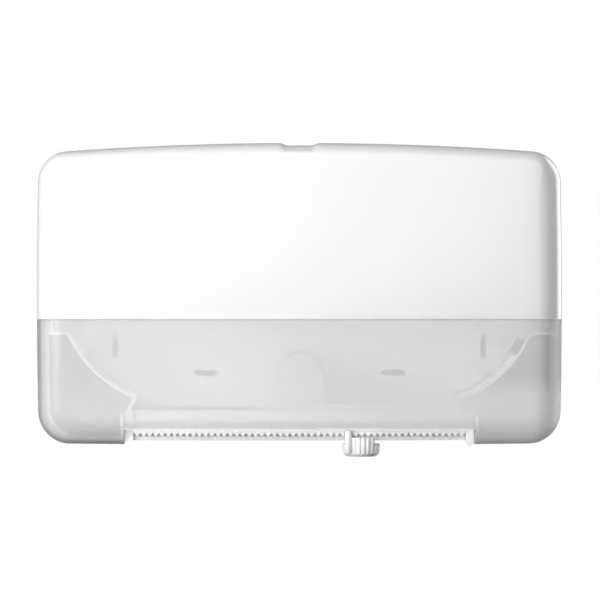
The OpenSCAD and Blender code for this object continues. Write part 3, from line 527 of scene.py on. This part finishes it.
def round_edges(obj, width):
    weld = obj.modifiers.new("weld", "WELD")
    weld.merge_threshold = WELD_GAP
    bevel = obj.modifiers.new("rounding", "BEVEL")
    bevel.width = width
    bevel.segments = 2
    bevel.limit_method = "ANGLE"
    bevel.angle_limit = math.radians(SHARP_ANGLE)
    bevel.harden_normals = True


rounded = [name for name in nodes if name not in ("cover_shell", "cover_window")]
for name in rounded:
    round_edges(nodes[name], EDGE_ROUND_MM.get(name, FASTENER_ROUND_MM) * MM)
print("rounded pieces:", len(rounded))

# %% [markdown]
# ## Helpers for shader nodes
# A node tree is easier to read as sums than as boxes. Each helper adds one node, feeds it with plain
# values or with another node's output, and returns its own output, so that they can be nested.

# %% Add nodes and start groups
def feed(tree, socket, value):
    """Links another node's output to the socket, or sets the socket to a plain value."""
    if isinstance(value, bpy.types.NodeSocket):
        tree.links.new(value, socket)
    else:
        socket.default_value = value


def add_math(tree, operation, a, b):
    node = tree.nodes.new("ShaderNodeMath")
    node.operation = operation
    feed(tree, node.inputs[0], a)
    feed(tree, node.inputs[1], b)
    return node.outputs[0]


def add_noise(tree, vector, scale, detail):
    node = tree.nodes.new("ShaderNodeTexNoise")
    node.inputs["Detail"].default_value = detail
    feed(tree, node.inputs["Vector"], vector)
    feed(tree, node.inputs["Scale"], scale)
    return node.outputs["Fac"]


def add_mix(tree, factor, a, b, kind="RGBA"):
    node = tree.nodes.new("ShaderNodeMix")
    node.data_type = kind
    for label, value in (("Factor", factor), ("A", a), ("B", b)):
        feed(tree, node.inputs[label], value)
    return node.outputs["Result"]


def add_fade(tree, value, start, end, low, high, curve="LINEAR"):
    """A value that runs from low to high while the input runs from start to end."""
    node = tree.nodes.new("ShaderNodeMapRange")
    node.interpolation_type = curve
    for label, number in (("From Min", start), ("From Max", end), ("To Min", low), ("To Max", high)):
        node.inputs[label].default_value = number
    feed(tree, node.inputs["Value"], value)
    return node.outputs["Result"]


def add_bump(tree, height, strength, distance):
    node = tree.nodes.new("ShaderNodeBump")
    node.inputs["Distance"].default_value = distance
    feed(tree, node.inputs["Strength"], strength)
    feed(tree, node.inputs["Height"], height)
    return node.outputs["Normal"]


def object_place(tree):
    return tree.nodes.new("ShaderNodeTexCoord").outputs["Object"]


def group_with(name, inputs, outputs):
    group = bpy.data.node_groups.new(name, "ShaderNodeTree")
    for label, kind, value in inputs:
        socket = group.interface.new_socket(label, in_out="INPUT", socket_type=kind)
        socket.default_value = value
    for label, kind in outputs:
        group.interface.new_socket(label, in_out="OUTPUT", socket_type=kind)
    return group, group.nodes.new("NodeGroupInput"), group.nodes.new("NodeGroupOutput")


def grey(level, warm=0.0):
    return (level * (1 + warm), level, level * (1 - warm), 1.0)


COLOUR, NUMBER, VECTOR = "NodeSocketColor", "NodeSocketFloat", "NodeSocketVector"
print("a warm grey:", [round(channel, 3) for channel in grey(0.5, 0.01)])

# %% [markdown]
# ## The skin of moulded plastic
# A plastic part is never one flat colour: the polished tool leaves a faint ripple, the gloss varies a
# little, and the tone drifts by a few levels. One node group makes all three from noise in object
# space, so that every plastic can use it with its own numbers. It gives colour, roughness and normal.

# %% Group: moulded skin
DRIFT_SCALE, GLOSS_SCALE = 9.0, 60.0
RIPPLE_HEIGHT = 0.2 * MM


def make_moulded_skin():
    group, start, end = group_with(
        "moulded_skin",
        [("Tone", COLOUR, grey(0.9)), ("Shade", COLOUR, grey(0.8)), ("Drift", NUMBER, 0.2),
         ("Gloss", NUMBER, 0.2), ("Gloss spread", NUMBER, 0.08), ("Ripple", NUMBER, 0.02),
         ("Ripple scale", NUMBER, 400.0)],
        [("Color", COLOUR), ("Roughness", NUMBER), ("Normal", VECTOR)])
    place = object_place(group)
    drift = add_math(group, "MULTIPLY", add_noise(group, place, DRIFT_SCALE, 3.0), start.outputs["Drift"])
    colour = add_mix(group, drift, start.outputs["Tone"], start.outputs["Shade"])
    spread = add_math(group, "SUBTRACT", add_noise(group, place, GLOSS_SCALE, 4.0), 0.5)
    spread = add_math(group, "MULTIPLY", spread, start.outputs["Gloss spread"])
    ripple = add_noise(group, place, start.outputs["Ripple scale"], 2.0)
    feed(group, end.inputs["Color"], colour)
    feed(group, end.inputs["Roughness"], add_math(group, "ADD", start.outputs["Gloss"], spread))
    feed(group, end.inputs["Normal"], add_bump(group, ripple, start.outputs["Ripple"], RIPPLE_HEIGHT))
    return group


MOULDED_SKIN = make_moulded_skin()
print("group:", MOULDED_SKIN.name)

# %% [markdown]
# ## Painted shade in the creases
# Between teeth, ribs and flutes the white plastic is greyed with painted shade, standing for the light that
# gets trapped there. Ambient occlusion finds those places from the shape alone, and noise breaks the mask
# up so that the painted shade is uneven.

# %% Group: painted shade in the creases
CREASE_BREAK_SCALE = 150.0
CREASE_BREAK_LOW, CREASE_BREAK_SPAN = 0.7, 0.6


def make_crease_painted_shade():
    group, start, end = group_with(
        "crease_painted_shade",
        [("Color", COLOUR, grey(0.9)), ("Crease shade", COLOUR, grey(0.5)), ("Amount", NUMBER, 0.5),
         ("Reach", NUMBER, 4 * MM)],
        [("Color", COLOUR), ("Mask", NUMBER)])
    # The mask from ambient occlusion is painted shade: the colour turns to the crease grey where the shape
    # closes in.
    occlusion = group.nodes.new("ShaderNodeAmbientOcclusion")
    occlusion.samples = 8
    feed(group, occlusion.inputs["Distance"], start.outputs["Reach"])
    hidden = add_math(group, "SUBTRACT", 1.0, occlusion.outputs["AO"])
    noise = add_noise(group, object_place(group), CREASE_BREAK_SCALE, 4.0)
    broken = add_math(group, "ADD", add_math(group, "MULTIPLY", noise, CREASE_BREAK_SPAN), CREASE_BREAK_LOW)
    mask = add_math(group, "MULTIPLY", add_math(group, "MULTIPLY", hidden, broken), start.outputs["Amount"])
    feed(group, end.inputs["Color"], add_mix(group, mask, start.outputs["Color"], start.outputs["Crease shade"]))
    feed(group, end.inputs["Mask"], mask)
    return group


CREASE_PAINTED_SHADE = make_crease_painted_shade()
print("group:", CREASE_PAINTED_SHADE.name)

# %% [markdown]
# ## Grey for dust and painted shade
# Inside the cover paper fibres gather and less light reaches, so faces there are greyed: this stands for
# dust and for painted shade together. The group greys whatever lies past a place on one axis, such as up or
# towards the front, and noise makes the border ragged. A painted mask would need an unwrapped mesh.

# %% Group: dust and painted shade
DUST_AND_SHADE_SCALE = 220.0
DUST_AND_SHADE_FADE = 2 * MM
UPWARD, FORWARD = (0, 0, 1), (0, -1, 0)


def make_settled_dust():
    group, start, end = group_with(
        "settled_dust",
        [("Color", COLOUR, grey(0.9)), ("Dust and shade", COLOUR, grey(0.4)), ("Axis", VECTOR, UPWARD),
         ("Start", NUMBER, 0.0)],
        [("Color", COLOUR), ("Mask", NUMBER)])
    place = object_place(group)
    along = group.nodes.new("ShaderNodeVectorMath")
    along.operation = "DOT_PRODUCT"
    feed(group, along.inputs[0], place)
    feed(group, along.inputs[1], start.outputs["Axis"])
    # Past the start the colour turns to the grey of dust and painted shade.
    ragged = add_math(group, "MULTIPLY", add_noise(group, place, DUST_AND_SHADE_SCALE, 4.0), DUST_AND_SHADE_FADE)
    past = add_math(group, "SUBTRACT", along.outputs["Value"], start.outputs["Start"])
    mask = add_fade(group, add_math(group, "ADD", past, ragged), 0.0, DUST_AND_SHADE_FADE, 0.0, 1.0, "SMOOTHSTEP")
    feed(group, end.inputs["Color"], add_mix(group, mask, start.outputs["Color"], start.outputs["Dust and shade"]))
    feed(group, end.inputs["Mask"], mask)
    return group


DUST_AND_PAINTED_SHADE = make_settled_dust()
print("group:", DUST_AND_PAINTED_SHADE.name)

# %% [markdown]
# ## How a plastic is put together
# Each plastic is a Principled shader in its own material. The skin group comes first, painted shade in the
# creases works on its colour, and a grey for dust and painted shade lies over both where a piece asks for
# it. What is the same all over, such as opacity, is set on the shader itself.

# %% Make one plastic
TONE_DRIFT, GLOSS_SPREAD = 0.5, 0.06
POLISHED_SCALE, TEXTURED_SCALE = 420.0, 1500.0


def new_material(name):
    material = bpy.data.materials.new(name)
    material.use_nodes = True
    tree = material.node_tree
    shader = next(n for n in tree.nodes if n.type == "BSDF_PRINCIPLED")
    return material, tree, shader


def place_group(tree, group, values):
    node = tree.nodes.new("ShaderNodeGroup")
    node.node_tree = group
    for label, value in values.items():
        feed(tree, node.inputs[label], value)
    return node


def plastic(name, tone, shade, gloss, ripple=0.03, ripple_scale=POLISHED_SCALE, crease=0.45,
            crease_painted_shade=0.5, reach=4 * MM, alpha=1.0, dust=None):
    """The last argument gives the axis, the place where greying starts and its tone: past that place the
    colour greys for dust and painted shade.
    """
    material, tree, shader = new_material(name)
    skin = place_group(tree, MOULDED_SKIN, {
        "Tone": grey(tone), "Shade": grey(shade), "Drift": TONE_DRIFT, "Gloss": gloss,
        "Gloss spread": GLOSS_SPREAD, "Ripple": ripple, "Ripple scale": ripple_scale})
    # The crease group darkens the skin's colour with painted shade.
    colour = place_group(tree, CREASE_PAINTED_SHADE, {
        "Color": skin.outputs["Color"], "Crease shade": grey(crease_painted_shade, 0.01), "Amount": crease,
        "Reach": reach}).outputs["Color"]
    # Past the given place the colour greys, for dust and painted shade.
    if dust is not None:
        axis, start, dust_and_shade_tone = dust
        colour = place_group(tree, DUST_AND_PAINTED_SHADE, {
            "Color": colour, "Dust and shade": grey(dust_and_shade_tone), "Axis": axis, "Start": start}).outputs["Color"]
    feed(tree, shader.inputs["Base Color"], colour)
    feed(tree, shader.inputs["Roughness"], skin.outputs["Roughness"])
    feed(tree, shader.inputs["Normal"], skin.outputs["Normal"])
    shader.inputs["Alpha"].default_value = alpha
    return material


SHELL_WHITE = plastic("shell_white_abs", 0.90, 0.87, 0.16, ripple=0.02, crease=0.2)
print("plastic:", SHELL_WHITE.name)

# %% [markdown]
# ## The window's plastic
# The real window is frosted: what touches it from behind shows, and what lies deeper fades to grey.
# Glass with a rough surface would do that, but it needs very many samples to be clean. A light grey
# that lets about two thirds of the light straight through is quiet, and the tray stays readable.

# %% Make the window's plastic
WINDOW_GREY = plastic("window_frosted_grey", 0.94, 0.91, 0.2, crease=0.0, alpha=0.36)
print("plastic:", WINDOW_GREY.name)

# %% [markdown]
# ## The tray's plastics
# The tray is moulded in a textured tool, so it is rougher than the cover and its grain is finer. The plate
# is plain. The outlet, the shutter and the brackets are greyer above the window's lower edge, with painted
# shade where the window shades them and dust, the guides are greyer at their front, and the dome between
# the rolls is a grey of its own.

# %% Make the tray's plastics
TEXTURED = {"gloss": 0.46, "ripple": 0.12, "ripple_scale": TEXTURED_SCALE}
GUIDE_FRONT = -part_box("guide_left")[0].y
DUST_AND_SHADE_DEPTH = 3 * MM
PLATE_WHITE = plastic("plate_fine_texture", 0.92, 0.88, **TEXTURED)
# Greyer above the window's lower edge: painted shade where the window shades the tray, and dust.
TRAY_WHITE = plastic("tray_front_white", 0.88, 0.84, crease=0.3,
                     dust=(UPWARD, NOTCH_TOP - DUST_AND_SHADE_DEPTH, 0.4), **TEXTURED)
GUIDE_WHITE = plastic("guide_fine_texture", 0.97, 0.94, crease=0.0,
                      dust=(FORWARD, GUIDE_FRONT - DUST_AND_SHADE_DEPTH, 0.5), **TEXTURED)
DOME_GREY = plastic("dome_light_grey", 0.36, 0.33, **TEXTURED)
print("plastics:", [m.name for m in (PLATE_WHITE, TRAY_WHITE, GUIDE_WHITE, DOME_GREY)])

# %% [markdown]
# ## The plastics of the small parts
# The bar, the knob and the catch are glossy white like the cover, with strong painted shade in their
# creases, because their teeth and flutes are what the eye looks for. Behind the window the bar is greyed
# with painted shade. The hubs are a harder plastic with a duller tone, and the clips and the hinge arms are
# slightly clear.

# %% Make the plastics of the small parts
# The bar is greyed with painted shade in its creases and above the window's lower edge.
BAR_WHITE = plastic("bar_white", 0.95, 0.93, 0.24, crease=0.7, crease_painted_shade=0.25, reach=3 * MM,
                    dust=(UPWARD, NOTCH_TOP + 1 * MM, 0.35))
TRIM_WHITE = plastic("trim_white_abs", 0.93, 0.90, 0.24, crease=0.6, crease_painted_shade=0.35, reach=2.5 * MM)
HUB_WHITE = plastic("hub_acetal", 0.78, 0.72, 0.34, ripple=0.05, crease=0.5)
CLIP_GREY = plastic("clip_grey", 0.66, 0.60, 0.34, ripple=0.05, alpha=0.8)
print("plastics:", [m.name for m in (BAR_WHITE, TRIM_WHITE, HUB_WHITE, CLIP_GREY)])

# %% [markdown]
# ## The metals
# Screws, pins and rivets are plain steel with fine turning marks. The lock is a cast and plated zinc,
# a little brighter and softer. The marks come from noise stretched along one axis, which changes the
# tone, the roughness and the relief together, as one scratch does on real metal.

# %% Group: turned streaks
STREAK_STRETCH = (1.0, 12.0, 12.0)
STREAK_ROUGHNESS = 0.25
STREAK_RELIEF, STREAK_HEIGHT = 0.08, 0.1 * MM


def make_turned_streaks():
    group, start, end = group_with(
        "turned_streaks",
        [("Tone", COLOUR, grey(0.6)), ("Shade", COLOUR, grey(0.5)), ("Gloss", NUMBER, 0.2),
         ("Streak scale", NUMBER, 100.0)],
        [("Color", COLOUR), ("Roughness", NUMBER), ("Normal", VECTOR)])
    stretch = group.nodes.new("ShaderNodeMapping")
    stretch.inputs["Scale"].default_value = STREAK_STRETCH
    feed(group, stretch.inputs["Vector"], object_place(group))
    streaks = add_noise(group, stretch.outputs["Vector"], start.outputs["Streak scale"], 5.0)
    spread = add_math(group, "MULTIPLY", streaks, STREAK_ROUGHNESS)
    feed(group, end.inputs["Color"], add_mix(group, streaks, start.outputs["Shade"], start.outputs["Tone"]))
    feed(group, end.inputs["Roughness"], add_math(group, "ADD", spread, start.outputs["Gloss"]))
    feed(group, end.inputs["Normal"], add_bump(group, streaks, STREAK_RELIEF, STREAK_HEIGHT))
    return group


TURNED_STREAKS = make_turned_streaks()
print("group:", TURNED_STREAKS.name)


# %% Make the metals
SHADE_SHARE = 0.8


def metal(name, tone, gloss, streak_scale):
    material, tree, shader = new_material(name)
    streaks = place_group(tree, TURNED_STREAKS, {
        "Tone": grey(tone, 0.01), "Shade": grey(tone * SHADE_SHARE, -0.01), "Gloss": gloss,
        "Streak scale": streak_scale})
    feed(tree, shader.inputs["Base Color"], streaks.outputs["Color"])
    feed(tree, shader.inputs["Roughness"], streaks.outputs["Roughness"])
    feed(tree, shader.inputs["Normal"], streaks.outputs["Normal"])
    shader.inputs["Metallic"].default_value = 1.0
    return material


SCREW_STEEL = metal("screw_steel_turned", 0.62, 0.18, 160.0)
LOCK_METAL = metal("lock_plated_zinc", 0.72, 0.24, 90.0)
print("metals:", SCREW_STEEL.name, LOCK_METAL.name)

# %% [markdown]
# ## Which piece is made of what
# A maker's parts list names one material for each part, and so does this table. Pieces of the same
# plastic or metal share one.

# %% Give every piece its material
NODE_MATERIAL = {
    TRIM_WHITE: ("shutter_knob", "cover_catch"),
    BAR_WHITE: ("tear_bar",),
    CLIP_GREY: ("window_clips", "hinge_arm_left", "hinge_arm_right"),
    HUB_WHITE: ("roll_hub_left", "roll_hub_right", "spindle_cap_left", "spindle_cap_right",
                "spindle_post_left", "spindle_post_right"),
    PLATE_WHITE: ("back_plate", "lock_body"),
    GUIDE_WHITE: ("guide_left", "guide_right"),
    DOME_GREY: ("centre_divider",),
    TRAY_WHITE: ("outlet_frame", "shutter", "hinge_bracket_left", "hinge_bracket_right"),
    LOCK_METAL: ("lock_barrel", "lock_hook"),
    SCREW_STEEL: ("spindle_screws", "post_screws", "frame_screws", "lock_screws", "hinge_pin_left",
                  "hinge_pin_right", "arm_rivets", "hook_screw", "knob_screw")}


def dress(obj, material):
    obj.data.materials.clear()
    obj.data.materials.append(material)


for material, names in NODE_MATERIAL.items():
    for name in names:
        dress(nodes[name], material)
dress(shell, SHELL_WHITE)
dress(window, WINDOW_GREY)
print("dressed:", sum(len(names) for names in NODE_MATERIAL.values()) + 2, "pieces")

# %% [markdown]
# ## Camera
# The view is straight on, from about two and a half metres, with a long lens. At that distance the
# near edge of the cover hides its own sides, which is why its outline looks almost flat.

# %% Set the camera
CAMERA_PLACE = (0.0006, -2.60, -0.00575)
CAMERA_LENS = 156.7
SENSOR_WIDTH = 36.0
camera_data = bpy.data.cameras.new("camera")
camera_data.lens = CAMERA_LENS
camera_data.sensor_width = SENSOR_WIDTH
camera = bpy.data.objects.new("camera", camera_data)
camera.location = CAMERA_PLACE
camera.rotation_euler = (math.pi / 2, 0, 0)
bpy.context.scene.collection.objects.link(camera)
bpy.context.scene.camera = camera
print("camera lens:", CAMERA_LENS, "mm")

# %% [markdown]
# ## Lamps
# White plastic on a white ground only reads if the light falls off across it. So one broad lamp
# stands on the left, two weak ones in front keep the middle and the low window open, and one behind
# the object touches its right edge. All are areas, because a point would burn a spot on the gloss.

# %% Set the lamps
def aim(obj, place, direction, axis):
    obj.location = place
    obj.rotation_euler = Vector(direction).to_track_quat(axis, "Y").to_euler()
    bpy.context.scene.collection.objects.link(obj)


def area_light(name, place, target, size, power):
    data = bpy.data.lights.new(name, "AREA")
    data.shape = "RECTANGLE"
    data.size, data.size_y = size
    data.energy = power
    obj = bpy.data.objects.new(name, data)
    aim(obj, place, Vector(target) - Vector(place), "-Z")
    return obj


lamps = [
    area_light("key_left", (-2.0, -2.1, 0.5), (0, -0.1, 0), (1.6, 1.6), 54),
    area_light("fill_front", (0.2, -3.4, 0.7), (0, 0, 0), (2.0, 1.4), 7.5),
    area_light("fill_low", (-0.5, -2.9, -0.55), (0, -0.1, -0.1), (1.2, 0.4), 4),
    area_light("rim_right", (1.3, 0.75, 0.2), (0.2, -0.1, 0), (0.9, 1.6), 16)]
print("lamps in watts:", {lamp.name: lamp.data.energy for lamp in lamps})

# %% [markdown]
# ## Floor and cards
# What a glossy edge mirrors draws it more than any lamp does. A black card on the right darkens the
# rounded side there, one below does so under the cover, and a grey one overhead shades the top edge.
# The camera does not see the cards. The pale floor lies well below and takes the shadow.

# %% Set the floor and the cards
STAGE_ROUGHNESS = 0.9
FLOOR_Z = -0.55


def stage_plane(name, place, normal, size, tone):
    bm = bmesh.new()
    bmesh.ops.create_grid(bm, x_segments=1, y_segments=1, size=0.5)
    mesh = bpy.data.meshes.new(name)
    bm.to_mesh(mesh)
    bm.free()
    obj = bpy.data.objects.new(name, mesh)
    obj.scale = (size[0], size[1], 1)
    aim(obj, place, normal, "Z")
    material, tree, shader = new_material(name)
    shader.inputs["Base Color"].default_value = grey(tone)
    shader.inputs["Roughness"].default_value = STAGE_ROUGHNESS
    obj.data.materials.append(material)
    return obj


floor = stage_plane("floor", (0, 0.2, FLOOR_Z), (0, 0, 1), (3.6, 3.2), 0.86)
cards = [
    stage_plane("dark_card", (1.15, -0.85, 0), (-1, 0.35, 0), (1.5, 1.8), 0.03),
    stage_plane("dark_top_card", (0, -0.2, 0.85), (0, 0, -1), (2.0, 0.75), 0.45),
    stage_plane("dark_low_card", (0.15, -0.35, -0.42), (0, 0, 1), (1.5, 1.0), 0.03)]
for card in cards:
    card.visible_camera = False
print("stage:", floor.name, [card.name for card in cards])

# %% [markdown]
# ## The room
# The camera sees a white room, and so do mirrored rays that go towards the front. Towards the rear
# the mirrored room fades to black, so that the cover's sides darken as they turn away. For all other
# light the room is a dim grey, and the lamps do the work.
# Rays that have passed the window see a room of their own. It stands for the light that the frosted
# wall scatters inside, which a plain see-through wall does not do: brighter on the right, far from
# the key lamp, and with a weak glow low down, where room light comes in through the paper outlet.

# %% Mix the room's tones
ROOM_TONE = 0.26
# Directions run from -1 to 1: X to the right, Y to the rear, Z up. Each row is start, end, low, high.
MIRROR_FADE = (-0.8, 0.6, 1.0, 0.0)
INSIDE_ACROSS = (-1.0, 1.0, 0.75, 3.8)
INSIDE_FRONT = (-0.15, -0.7, 0.08, 1.0)
GLOW_ACROSS = (-0.09, 0.09, 0.08, 0.26)
GLOW_LOW = (-0.029, -0.036, 0.0, 1.0)


def make_world():
    world = bpy.data.worlds.new("studio")
    bpy.context.scene.world = world
    world.use_nodes = True
    tree = world.node_tree
    background = next(n for n in tree.nodes if n.type == "BACKGROUND")
    ray = tree.nodes.new("ShaderNodeLightPath").outputs
    split = tree.nodes.new("ShaderNodeSeparateXYZ")
    feed(tree, split.inputs["Vector"], tree.nodes.new("ShaderNodeTexCoord").outputs["Generated"])
    across, depth, height = (split.outputs[axis] for axis in "XYZ")
    mirrored = add_math(tree, "MULTIPLY", ray["Is Glossy Ray"],
                        add_fade(tree, depth, *MIRROR_FADE, "SMOOTHSTEP"))
    white = add_math(tree, "MAXIMUM", ray["Is Camera Ray"], mirrored)
    white = add_math(tree, "MAXIMUM", white, ray["Is Transmission Ray"])
    room = add_mix(tree, white, grey(ROOM_TONE), grey(1.0))
    inside = add_math(tree, "MULTIPLY", add_fade(tree, across, *INSIDE_ACROSS),
                      add_fade(tree, depth, *INSIDE_FRONT))
    glow = add_math(tree, "MULTIPLY", add_fade(tree, across, *GLOW_ACROSS),
                    add_fade(tree, height, *GLOW_LOW))
    behind = add_mix(tree, ray["Is Camera Ray"], inside, glow, "FLOAT")
    passed = add_math(tree, "MINIMUM", ray["Transparent Depth"], 1.0)
    feed(tree, background.inputs["Color"], add_mix(tree, passed, room, behind))
    return world


bpy.context.scene.view_settings.view_transform = "Standard"
print("world:", make_world().name)

# %% [markdown]
# ## Last update
# The rounded mouldings are meant to stay inside the box of the solid model; here the scene is only brought
# up to date.

# %% Finish
bpy.context.view_layer.update()
